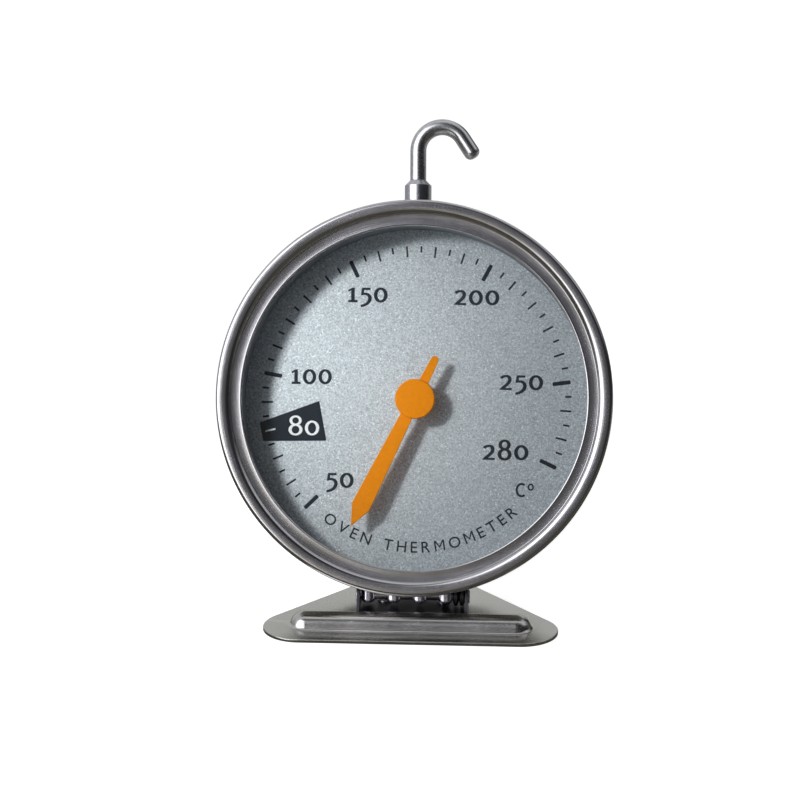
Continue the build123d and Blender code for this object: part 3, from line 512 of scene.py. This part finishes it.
# ================================================================ bezel
# Rolled ring: rounded outer bead, inner slope, fine groove, shallow flange, rounded lip;
# crimped behind. Rows are a straight step to (radius, z) in mm, or an arc from the last
# point: (point on the way, end, steps).
BEZEL_OUTLINE = [
    (33.68, -5.15), (35.6, -5.15),
    ((35.883, -5.033), (36.0, -4.75), 6),
    (36.0, -2.8), (36.0, -0.77),
    ((35.78, -0.235), (35.25, -0.012), 16),
    ((34.8, 0.0), (34.3, -0.03), 6),
    ((33.75, -0.22), (33.38, -0.62), 12),
    (33.3, -0.72), (33.22, -0.735), (33.14, -0.68),
    ((32.45, -0.715), (31.6, -0.685), 10),
    ((31.39, -0.73), (31.3, -0.9), 8),
    (31.3, -1.6), (31.5, -1.85), (33.7, -1.85),
    ((34.4, -0.78), (35.1, -0.85), 8),
    (35.5, -1.45), (35.5, -4.67), (33.68, -4.67),
]


def bezel_profile():
    points = []
    for row in BEZEL_OUTLINE:
        points += arc_through(points[-1], *row) if len(row) == 3 else [row]
    return points


bezel = lathe("bezel_ring_turned", bezel_profile(), MATERIALS["bezel"],
              segments=288, sharp_deg=35.0)
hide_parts("bezel_ring")
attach(bezel, "head")

# ================================================================ dial print
INK_THICK = 0.018         # ink film, mm
INK_LIFT = 0.0005         # clearance of the film above the plate, mm
PRINT_Z = (front_depth("dial_plate") - front_depth("bezel_ring")) / MM + INK_LIFT
PRINT_ROLL = -0.2         # the print's turn about the dial axis, degrees


def on_dial(x, y):
    """Turns a position on the dial (mm) by the print's roll."""
    roll = math.radians(PRINT_ROLL)
    return (x * math.cos(roll) - y * math.sin(roll), x * math.sin(roll) + y * math.cos(roll))


def left_normal(a, b):
    dx, dy = b[0] - a[0], b[1] - a[1]
    length = math.hypot(dx, dy)
    return -dy / length, dx / length


class Print:
    """Collects flat outlines as thin raised films of ink on the dial (head frame, mm)."""

    def __init__(self):
        self.verts, self.faces = [], []

    def film(self, points, top, rim, base=0.0):
        """Top and bottom faces, walled along the rim edges; base is the height it lies at."""
        count, start = len(points), len(self.verts)
        for height in (base + INK_THICK, base):
            self.verts += [head_point(x, y, PRINT_Z + height) for x, y in points]
        for face in top:
            self.faces.append(tuple(start + i for i in face))
            self.faces.append(tuple(start + count + i for i in reversed(face)))
        for i, j in rim:
            self.faces.append((start + i, start + count + i, start + count + j, start + j))

    def outline(self, points, top=None, base=0.0):
        """One outline. top: index tuples that fill it; the default is a single face."""
        top = top or [tuple(range(len(points)))]
        edges = [edge for face in top for edge in zip(face, face[1:] + face[:1])]
        self.film(points, top, [(i, j) for i, j in edges if (j, i) not in edges], base)

    def ribbon(self, path, half_widths, place, closed=False, base=0.0):
        """A stroke along a centre path, carried to dial mm by the function place."""
        count = len(path)
        left, right = [], []
        for i, point in enumerate(path):
            before = left_normal(path[i - 1], point) if closed or i else None
            inside = closed or i < count - 1
            after = left_normal(point, path[(i + 1) % count]) if inside else before
            before = before or after
            mx, my = before[0] + after[0], before[1] + after[1]
            length = math.hypot(mx, my)
            mx, my = mx / length, my / length
            # Mitred corners, with the mitre's reach limited.
            reach = half_widths[i] / max(0.45, mx * before[0] + my * before[1])
            left.append(place(point[0] + mx * reach, point[1] + my * reach))
            right.append(place(point[0] - mx * reach, point[1] - my * reach))
        quads = []
        for i in range(count if closed else count - 1):
            j = (i + 1) % count
            quads.append((i, count + i, count + j, j))
        self.outline(left + right, quads, base)

    def build(self, name, look="ink", slot="dial_print"):
        made = new_object(name, self.verts, self.faces, MATERIALS[look])
        face_outwards(made)
        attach(made, "head")


# ---------------------------------------------------------------- scale
SCALE_FIRST, SCALE_LAST, SCALE_STEP = 50, 280, 5
SCALE_START_DEG = 224.33      # direction of the first tick
DEG_PER_UNIT = 1.0865
SCALE_R = 28.58               # the ticks' distances are taken inwards from here, mm
# Ticks in mm: distance of the middle inside SCALE_R, length, width, corner bevel.
NUMBERED_TICK = (1.65, 3.35, 0.74, 0.16)
TEN_TICK = (1.0, 2.05, 0.36, 0.06)
FIVE_TICK = (0.6, 1.2, 0.36, 0.06)


def add_tick(ink, temperature, inset, length, width, bevel):
    turn = SCALE_START_DEG - DEG_PER_UNIT * (temperature - SCALE_FIRST) + PRINT_ROLL
    c, s = math.cos(math.radians(turn)), math.sin(math.radians(turn))
    r = SCALE_R - inset
    h, w, b = length / 2, width / 2, bevel
    corners = [(-h, -w + b), (-h + b, -w), (h - b, -w), (h, -w + b),
               (h, w - b), (h - b, w), (-h + b, w), (-h, w - b)]
    ink.outline([((r + u) * c - v * s, (r + u) * s + v * c) for u, v in corners])


ticks_minor, ticks_major = Print(), Print()
for temperature in range(SCALE_FIRST, SCALE_LAST + 1, SCALE_STEP):
    if temperature == 80:         # the marker field has its own white tick
        continue
    if temperature in (50, 100, 150, 200, 250, 280):
        add_tick(ticks_major, temperature, *NUMBERED_TICK)
    else:
        add_tick(ticks_minor, temperature, *(FIVE_TICK if temperature % 10 else TEN_TICK))
ticks_minor.build("dial_ticks_minor")
ticks_major.build("dial_ticks_major")


# ---------------------------------------------------------------- old-style numerals
# Drawn in units of the x height, from the lower left. Each function returns strokes:
# (centre path, half widths, closed).
def arc_points(cx, cy, rx, ry, start_deg, end_deg, count):
    angles = [math.radians(start_deg + (end_deg - start_deg) * i / (count - 1))
              for i in range(count)]
    return [(cx + rx * math.cos(a), cy + ry * math.sin(a)) for a in angles]


def loop_points(cx, cy, rx, ry, start_deg, count):
    """A whole ellipse; count includes the repeated end point, which is left out."""
    return arc_points(cx, cy, rx, ry, start_deg, start_deg + 360, count)[:-1]


def bezier(p0, p1, p2, p3, count):
    points = []
    for i in range(count):
        t = i / (count - 1)
        u = 1 - t
        points.append(tuple(u ** 3 * a + 3 * u * u * t * b + 3 * u * t * t * c + t ** 3 * d
                            for a, b, c, d in zip(p0, p1, p2, p3)))
    return points


def stressed(path, thick, thin, closed=False):
    """Half widths with humanist stress: heavier where the stroke runs upright."""
    count = len(path)
    widths = []
    for i in range(count):
        a = path[i - 1] if closed else path[max(0, i - 1)]
        b = path[(i + 1) % count] if closed else path[min(count - 1, i + 1)]
        dx, dy = b[0] - a[0], b[1] - a[1]
        upright = abs(dy / math.hypot(dx, dy))
        widths.append(0.5 * (thin + (thick - thin) * upright ** 1.5))
    return widths


ADVANCE = {"0": 0.86, "1": 0.62, "2": 0.74, "5": 0.72, "8": 0.84}
GAP = 0.145               # between numerals
THICK, THIN = 0.225, 0.160


def zero(thick, thin):
    middle = ADVANCE["0"] / 2
    path = loop_points(middle, 0.5, middle - thick / 2, 0.515 - thin / 2, 0, 49)
    return [(path, stressed(path, thick, thin, True), True)]


def two(thick, thin):
    path = bezier((0.07, 0.80), (0.18, 0.97), (0.60, 1.06), (0.60, 0.70), 13)
    path += bezier((0.60, 0.70), (0.60, 0.50), (0.36, 0.30), (0.10, 0.075), 11)[1:]
    widths = stressed(path, thick, thin)[:-1] + [thin / 2] * 2
    widths[0] *= 1.05
    return [(path + [(0.72, 0.065)], widths, False)]


def five(thick, thin):
    top = 1.0 - thin / 2
    bowl = bezier((0.155, 0.575), (0.62, 0.66), (0.72, 0.28), (0.55, 0.03), 12)[1:]
    bowl += bezier((0.55, 0.03), (0.43, -0.14), (0.24, -0.22), (0.05, -0.245), 9)[1:]
    widths = [thin * 0.5, thin * 0.5, thin * 0.55] + stressed(bowl, thick, thin)
    return [([(0.66, top), (0.20, top), (0.155, 0.575)] + bowl, widths, False)]


def eight(thick, thin):
    middle = ADVANCE["8"] / 2
    upper = loop_points(middle, 1.02, middle - thick / 2 - 0.045, 0.285, -90, 41)
    lower = loop_points(middle, 0.375, middle - thick / 2, 0.335, 90, 41)
    return [(upper, stressed(upper, thick * 0.92, thin, True), True),
            (lower, stressed(lower, thick, thin, True), True)]


STROKES = {"0": zero, "2": two, "5": five, "8": eight}


def add_one(ink, place, base, thick, thin):
    """The 1, with a foot serif and a flag: a plain outline."""
    half, middle = 0.5 * thick, 0.33
    left, right = middle - half, middle + half
    points = [(0.04, 0.0), (0.62, 0.0), (0.62, thin), (right, thin), (right, 1.0),
              (middle - half * 0.55, 1.0), (0.02, 0.835), (0.065, 0.715), (left, 0.815),
              (left, thin), (0.04, thin)]
    ink.outline([place(*p) for p in points],
                [(0, 1, 2, 3, 9, 10), (3, 4, 5, 8, 9), (5, 6, 7, 8)], base)


def add_number(ink, text, left, right, baseline, x_height, base=0.0, thick=THICK, thin=THIN):
    """Sets a number between left and right, on its baseline (mm)."""
    total = sum(ADVANCE[c] for c in text) + GAP * (len(text) - 1)
    unit = (right - left) / total
    pen = 0.0
    for digit in text:

        def place(u, v, pen=pen):
            return on_dial(left + (pen + u) * unit, baseline + v * x_height)

        if digit == "1":
            add_one(ink, place, base, thick, thin)
        else:
            for path, widths, closed in STROKES[digit](thick, thin):
                ink.ribbon(path, widths, place, closed, base)
        pen += ADVANCE[digit] + GAP


X_HEIGHT = 2.72244        # mm
# Number, left, right, baseline, mm from the dial's centre.
NUMBERS = [
    ("150", -12.8714, -5.4634, 18.11256),
    ("100", -23.2426, -15.66792, 2.92616),
    ("200", 6.88944, 15.1864, 17.66808),
    ("250", 15.3716, 23.3352, 2.00016),
    ("280", 12.29728, 20.70536, -10.88976),
    ("50", -16.59392, -11.46388, -16.18648),
]
numbers = Print()
for text, left, right, baseline in NUMBERS:
    add_number(numbers, text, left, right, baseline, X_HEIGHT)
# Unit mark: a C with a small raised o at its right. The o is drawn with y down.
c_path = arc_points(19.48304, -16.40872, 0.90748, 1.12972, 52, 308, 25)
numbers.ribbon(c_path, [0.20372] * len(c_path), on_dial)
o_path = loop_points(21.14984, 15.87164, 0.43522, 0.5093, 0, 25)
numbers.ribbon(o_path, [0.15742] * len(o_path), lambda x, y: on_dial(x, -y), closed=True)
numbers.build("dial_numerals")

# ---------------------------------------------------------------- marker field
# Dark four-sided field at the left, with a white number and tick on it (mm).
FIELD_CORNERS = [(-28.9838, -4.22256), (-28.26152, -7.66728),
                 (-16.55688, -7.53764), (-17.94588, -0.1852)]
FIELD_ROUNDING = 0.22224
FIELD_TICK = Vector((-27.90964, -5.85232)), Vector((-26.03912, -5.38932))
FIELD_TICK_HALF_WIDTH = 0.15742
WHITE_BASE = INK_THICK + 0.001


def rounded(corners, cut, steps=4):
    """Replaces each corner with a quadratic curve that starts and ends cut away from it."""
    points = []
    for i, corner in enumerate(corners):
        corner = Vector(corner)
        before, after = Vector(corners[i - 1]), Vector(corners[(i + 1) % len(corners)])
        start = corner + (before - corner).normalized() * cut
        end = corner + (after - corner).normalized() * cut
        for j in range(steps + 1):
            t = j / steps
            points.append(start * (1 - t) ** 2 + corner * 2 * t * (1 - t) + end * t * t)
    return points


field = Print()
field.outline([on_dial(*p) for p in rounded(FIELD_CORNERS, FIELD_ROUNDING)])
field.build("dial_marker_field")

white = Print()
add_number(white, "80", -23.59448, -17.92736, -6.51904, x_height=2.64836,
           base=WHITE_BASE, thick=0.185, thin=0.13)
start, end = FIELD_TICK
along = (end - start).normalized()
side = Vector((along.y, -along.x)) * FIELD_TICK_HALF_WIDTH
white.outline([on_dial(*p) for p in (start - side, start + side, end + side, end - side)],
              base=WHITE_BASE)
white.build("dial_marker_number", "ink_white", "dial_print_white")

# ---------------------------------------------------------------- lettering
LETTER_WEIGHT = 0.008     # growth of the outline, in ems
SPACE_WIDTH = 0.30        # ems


def drawn_m(cap, width, stem):
    """A capital M as plain strokes, cap high."""
    low = 0.26 * cap
    shoulder = cap - 1.5 * stem
    points = [(0, 0), (stem, 0), (stem, shoulder), (width / 2, low),
              (width - stem, shoulder), (width - stem, 0), (width, 0), (width, cap),
              (width - 1.1 * stem, cap), (width / 2, low + 1.5 * stem),
              (1.1 * stem, cap), (0, cap)]
    mesh = bpy.data.meshes.new("t")
    mesh.from_pydata([(x, y, 0.0) for x, y in points], [],
                     [(0, 1, 2, 10, 11), (2, 3, 9, 10), (3, 4, 8, 9), (4, 5, 6, 7, 8)])
    mesh.update()
    return mesh


def letter_mesh(letter):
    """A flat letter in ems, in the default font but for the M."""
    curve = bpy.data.curves.new("t", "FONT")
    curve.body = letter
    curve.size = 1.0
    curve.resolution_u = 4
    curve.offset = LETTER_WEIGHT
    holder = bpy.data.objects.new("t", curve)
    bpy.context.scene.collection.objects.link(holder)
    depsgraph = bpy.context.evaluated_depsgraph_get()
    mesh = bpy.data.meshes.new_from_object(holder.evaluated_get(depsgraph))
    bpy.data.objects.remove(holder)
    bpy.data.curves.remove(curve)
    if letter == "M":
        left, right = extent(mesh)
        cap = max(v.co.y for v in mesh.vertices)
        bpy.data.meshes.remove(mesh)
        mesh = drawn_m(cap, right - left, stem=0.085 + 2 * LETTER_WEIGHT)
    return mesh


def extent(mesh):
    xs = [v.co.x for v in mesh.vertices]
    return min(xs), max(xs)


def add_lettering(ink, text, radius, centre_deg, gap_mm, cap_mm):
    """Sets a line round the dial, its letters' tops towards the centre."""
    meshes = [None if c == " " else letter_mesh(c) for c in text]
    spans = [extent(mesh) if mesh else (0.0, SPACE_WIDTH) for mesh in meshes]
    cap = max(v.co.y for v in meshes[text.index("E")].vertices)
    scale = cap_mm / cap
    gap = gap_mm / scale
    pen = -(sum(right - left for left, right in spans) + gap * (len(spans) - 1)) / 2
    for mesh, (left, right) in zip(meshes, spans):
        width = right - left
        if mesh:
            angle = math.radians(centre_deg) + (pen + width / 2) * scale / radius
            c, s = math.cos(angle), math.sin(angle)
            bm = bmesh.new()
            bm.from_mesh(mesh)
            bmesh.ops.remove_doubles(bm, verts=bm.verts, dist=1e-5)
            bm.verts.ensure_lookup_table()
            points = []
            for v in bm.verts:
                u = (v.co.x - left - width / 2) * scale
                r = radius - (v.co.y - cap / 2) * scale
                points.append((c * r - s * u, s * r + c * u))
            top = [[v.index for v in f.verts] for f in bm.faces]
            rim = [[v.index for v in e.verts] for e in bm.edges if len(e.link_faces) == 1]
            ink.film(points, top, rim)
            bm.free()
            bpy.data.meshes.remove(mesh)
        pen += width + gap


lettering = Print()
add_lettering(lettering, "OVEN THERMOMETER", radius=27.0392, centre_deg=272.1,
              gap_mm=0.80, cap_mm=2.0)
lettering.build("dial_lettering")

# ================================================================ stage
scene = bpy.context.scene
scene.view_settings.view_transform = "Standard"
scene.view_settings.look = "None"

# Colours of the surroundings as reflections see them.
ROOM = {
    "right": (0.021, 0.021, 0.023),
    "left": (0.33, 0.335, 0.37),
    "front": (0.15, 0.152, 0.175),
    "front_low": (0.27, 0.255, 0.225),
    "table": (0.070, 0.065, 0.052),
    "table_back": (0.30, 0.298, 0.29),
    "ceiling": (0.55, 0.56, 0.57),
    "backdrop": (0.50, 0.51, 0.50),
    "window": (1.8, 1.8, 1.84),
    "rim": (0.05, 0.05, 0.055),
}
DIFFUSE_SHARE = 0.085     # how much of the room's light diffuse surfaces get
FLOOR_GLOW = 0.95         # keeps the floor near white for the camera


def floor_material():
    made, net = material("studio_floor")
    coords = net.coords()
    mottle = net.noise(net.vmath("SCALE", coords, 1.0), scale=3.0)
    paint = net.filled("ShaderNodeBsdfDiffuse", {
        "Color": net.mix(net.spread(mottle), (0.86, 0.86, 0.855), (0.88, 0.88, 0.875)),
    }).outputs[0]
    glow = net.filled("ShaderNodeEmission", {"Color": (1, 1, 1), "Strength": FLOOR_GLOW})
    lit = net.filled("ShaderNodeAddShader", {0: paint, 1: glow.outputs[0]}).outputs[0]
    # In reflections it reads as a dim warm grey table, paler behind the object.
    y = net.filled("ShaderNodeSeparateXYZ", {0: coords}).outputs[1]
    behind = net.remap(y, (0.024, 0.075), smooth=True)
    table = net.filled("ShaderNodeEmission", {
        "Color": net.mix(behind, ROOM["table"], ROOM["table_back"])}).outputs[0]
    ray = net.node("ShaderNodeLightPath").outputs
    seen = net.mix_shader(ray["Is Camera Ray"], paint, lit)
    net.output(net.mix_shader(ray["Is Glossy Ray"], seen, table))
    return made


def disc(name, radius, z, mat, segments):
    turns = [2 * math.pi * i / segments for i in range(segments)]
    verts = [(0, 0, z)] + [(radius * math.cos(a), radius * math.sin(a), z) for a in turns]
    faces = [(0, 1 + i, 1 + (i + 1) % segments) for i in range(segments)]
    return new_object(name, verts, faces, mat)


disc("studio_floor", radius=6.0, z=-0.0001, mat=floor_material(), segments=96)


def build_world():
    """A daylight studio seen in reflections: a window at the left front, a dark room at the
    right, grey in front and a pale backdrop behind. The camera sees white."""
    world = bpy.data.worlds.new("studio")
    scene.world = world
    world.use_nodes = True
    net = Net(world.node_tree)
    generated = net.node("ShaderNodeTexCoord").outputs["Generated"]
    ray_dir = net.vmath("NORMALIZE", generated)
    x, y, z = net.filled("ShaderNodeSeparateXYZ", {0: ray_dir}).outputs
    right, up, out = (net.dot(ray_dir, v) for v in (RIGHT, UP, OUT))

    # Angle from the dial axis, and angle round it: 0 right, 90 up, running -90 ... 270.
    limited = net.math("MINIMUM", net.math("MAXIMUM", out, -0.99999), 0.99999)
    off_axis = net.degrees(net.math("ARCCOSINE", limited))
    around = net.degrees(net.math("ARCTAN2", up, right))
    around = net.add(around, net.mul(net.math("LESS_THAN", around, -90.0), 360.0))
    # Angle to the left of the front, and angle above the horizon.
    leftward = net.degrees(net.math("ARCTAN2", net.mul(x, -1.0), net.mul(y, -1.0)))
    elevation = net.degrees(net.math("ARCSINE", z))

    def band(value, low, low_soft, high, high_soft):
        """1 between low and high, with soft ends."""
        return net.mul(
            net.remap(value, (low - low_soft, low + low_soft), smooth=True),
            net.remap(value, (high - high_soft, high + high_soft), (1.0, 0.0), smooth=True))

    def fade(value, start, end, low=0.0, high=1.0):
        """Smooth change from low at start to high at end."""
        return net.remap(value, (start, end), (low, high), smooth=True)

    def lit(colour, amount, light):
        return net.vmath("ADD", colour, net.vmath("SCALE", light, amount))

    # The room, dark at the right.
    colour = net.mix(fade(x, -0.75, 0.35, 1.0, 0.0), ROOM["right"], ROOM["left"])
    # The area before the dial: cool above, warm below, dark to the right.
    front = net.mul(fade(off_axis, 12.0, 36.0, 1.0, 0.0), fade(x, -0.10, 0.06, 1.0, 0.10))
    low = fade(up, -0.05, 0.09, 1.0, 0.0)
    colour = net.mix(front, colour, net.mix(low, ROOM["front"], ROOM["front_low"]))
    ceiling = net.mul(fade(out, 0.56, 0.30), fade(up, 0.25, 0.65))
    colour = net.mix(ceiling, colour, ROOM["ceiling"])
    # Clutter: uneven brightness over all of these.
    clutter = net.noise(ray_dir, scale=5.5, detail=3.0, rough=0.55, distort=0.4)
    colour = net.vmath("SCALE", colour, net.remap(clutter, (0.32, 0.68), (0.62, 1.38)))
    # The backdrop, dark at the right.
    backdrop = net.mul(fade(y, 0.15, 0.75), fade(z, 0.85, 0.55))
    backdrop_colour = net.mix(fade(x, 0.16, 0.50), ROOM["backdrop"], ROOM["right"])
    colour = net.mix(backdrop, colour, backdrop_colour)

    window = net.mul(band(leftward, low=15.0, low_soft=6.0, high=73.0, high_soft=8.0),
                     band(elevation, low=3.0, low_soft=3.0, high=58.0, high_soft=9.0))
    colour = lit(colour, window, ROOM["window"])
    # A weak light behind the dial plane, at the right.
    rim = net.mul(band(off_axis, low=100.0, low_soft=8.0, high=125.0, high_soft=8.0),
                  band(around, low=-50.0, low_soft=15.0, high=40.0, high_soft=15.0))
    colour = lit(colour, rim, ROOM["rim"])

    ray = net.node("ShaderNodeLightPath").outputs
    soft = net.vmath("SCALE", colour, DIFFUSE_SHARE)
    colour = net.mix(ray["Is Diffuse Ray"], colour, soft)
    colour = net.mix(ray["Is Camera Ray"], colour, (1.0, 1.0, 1.0))
    background = net.filled("ShaderNodeBackground", {0: colour, 1: 1.0})
    net.output(background.outputs[0], "ShaderNodeOutputWorld")


build_world()


# ================================================================ lights and camera
def aim(made, direction, location):
    """Puts a light or camera at location, looking against direction."""
    made.location = location
    made.rotation_mode = "QUATERNION"
    made.rotation_quaternion = (-direction).to_track_quat("-Z", "Y")


def add_light(name, kind, direction, distance, target, **settings):
    light = bpy.data.lights.new(name, kind)
    for key, value in settings.items():
        setattr(light, key, value)
    made = bpy.data.objects.new(name, light)
    scene.collection.objects.link(made)
    aim(made, direction, target + direction.normalized() * distance)
    made.visible_glossy = False


def add_key(name, target, half_angle_deg, energy):
    """A soft-edged spot from the upper left."""
    add_light(name, "SPOT", RIGHT * -0.47 + UP * 0.22 + OUT * 1.0, 0.30, target,
              energy=energy, spot_size=math.radians(2 * half_angle_deg), spot_blend=1.0,
              shadow_soft_size=0.026)


add_key("key", head_point(-31, 11, -10), half_angle_deg=7.4, energy=3.9)
add_key("key_wide", head_point(-27, 11, -10), half_angle_deg=14.0, energy=1.75)
add_light("fill", "AREA", OUT * 1.0 - RIGHT * 0.2 + UP * 0.1, 1.4, CENTRE,
          shape="DISK", size=0.9, energy=0.95, color=(0.93, 0.98, 1.10))

CAMERA_AZIMUTH = math.radians(2.95)       # to the right of the front
CAMERA_ELEVATION = math.radians(17.4)
CAMERA_DISTANCE = 0.500

lens = bpy.data.cameras.new("camera")
lens.lens = 124.6
lens.sensor_width = 36.0
lens.shift_x = -0.017
lens.shift_y = -0.0034
lens.clip_start = 0.01
lens.clip_end = 50.0
camera = bpy.data.objects.new("camera", lens)
scene.collection.objects.link(camera)
back = Vector((math.sin(CAMERA_AZIMUTH) * math.cos(CAMERA_ELEVATION),
               -math.cos(CAMERA_AZIMUTH) * math.cos(CAMERA_ELEVATION),
               math.sin(CAMERA_ELEVATION)))
aim(camera, back, CENTRE + back * CAMERA_DISTANCE)
scene.camera = camera
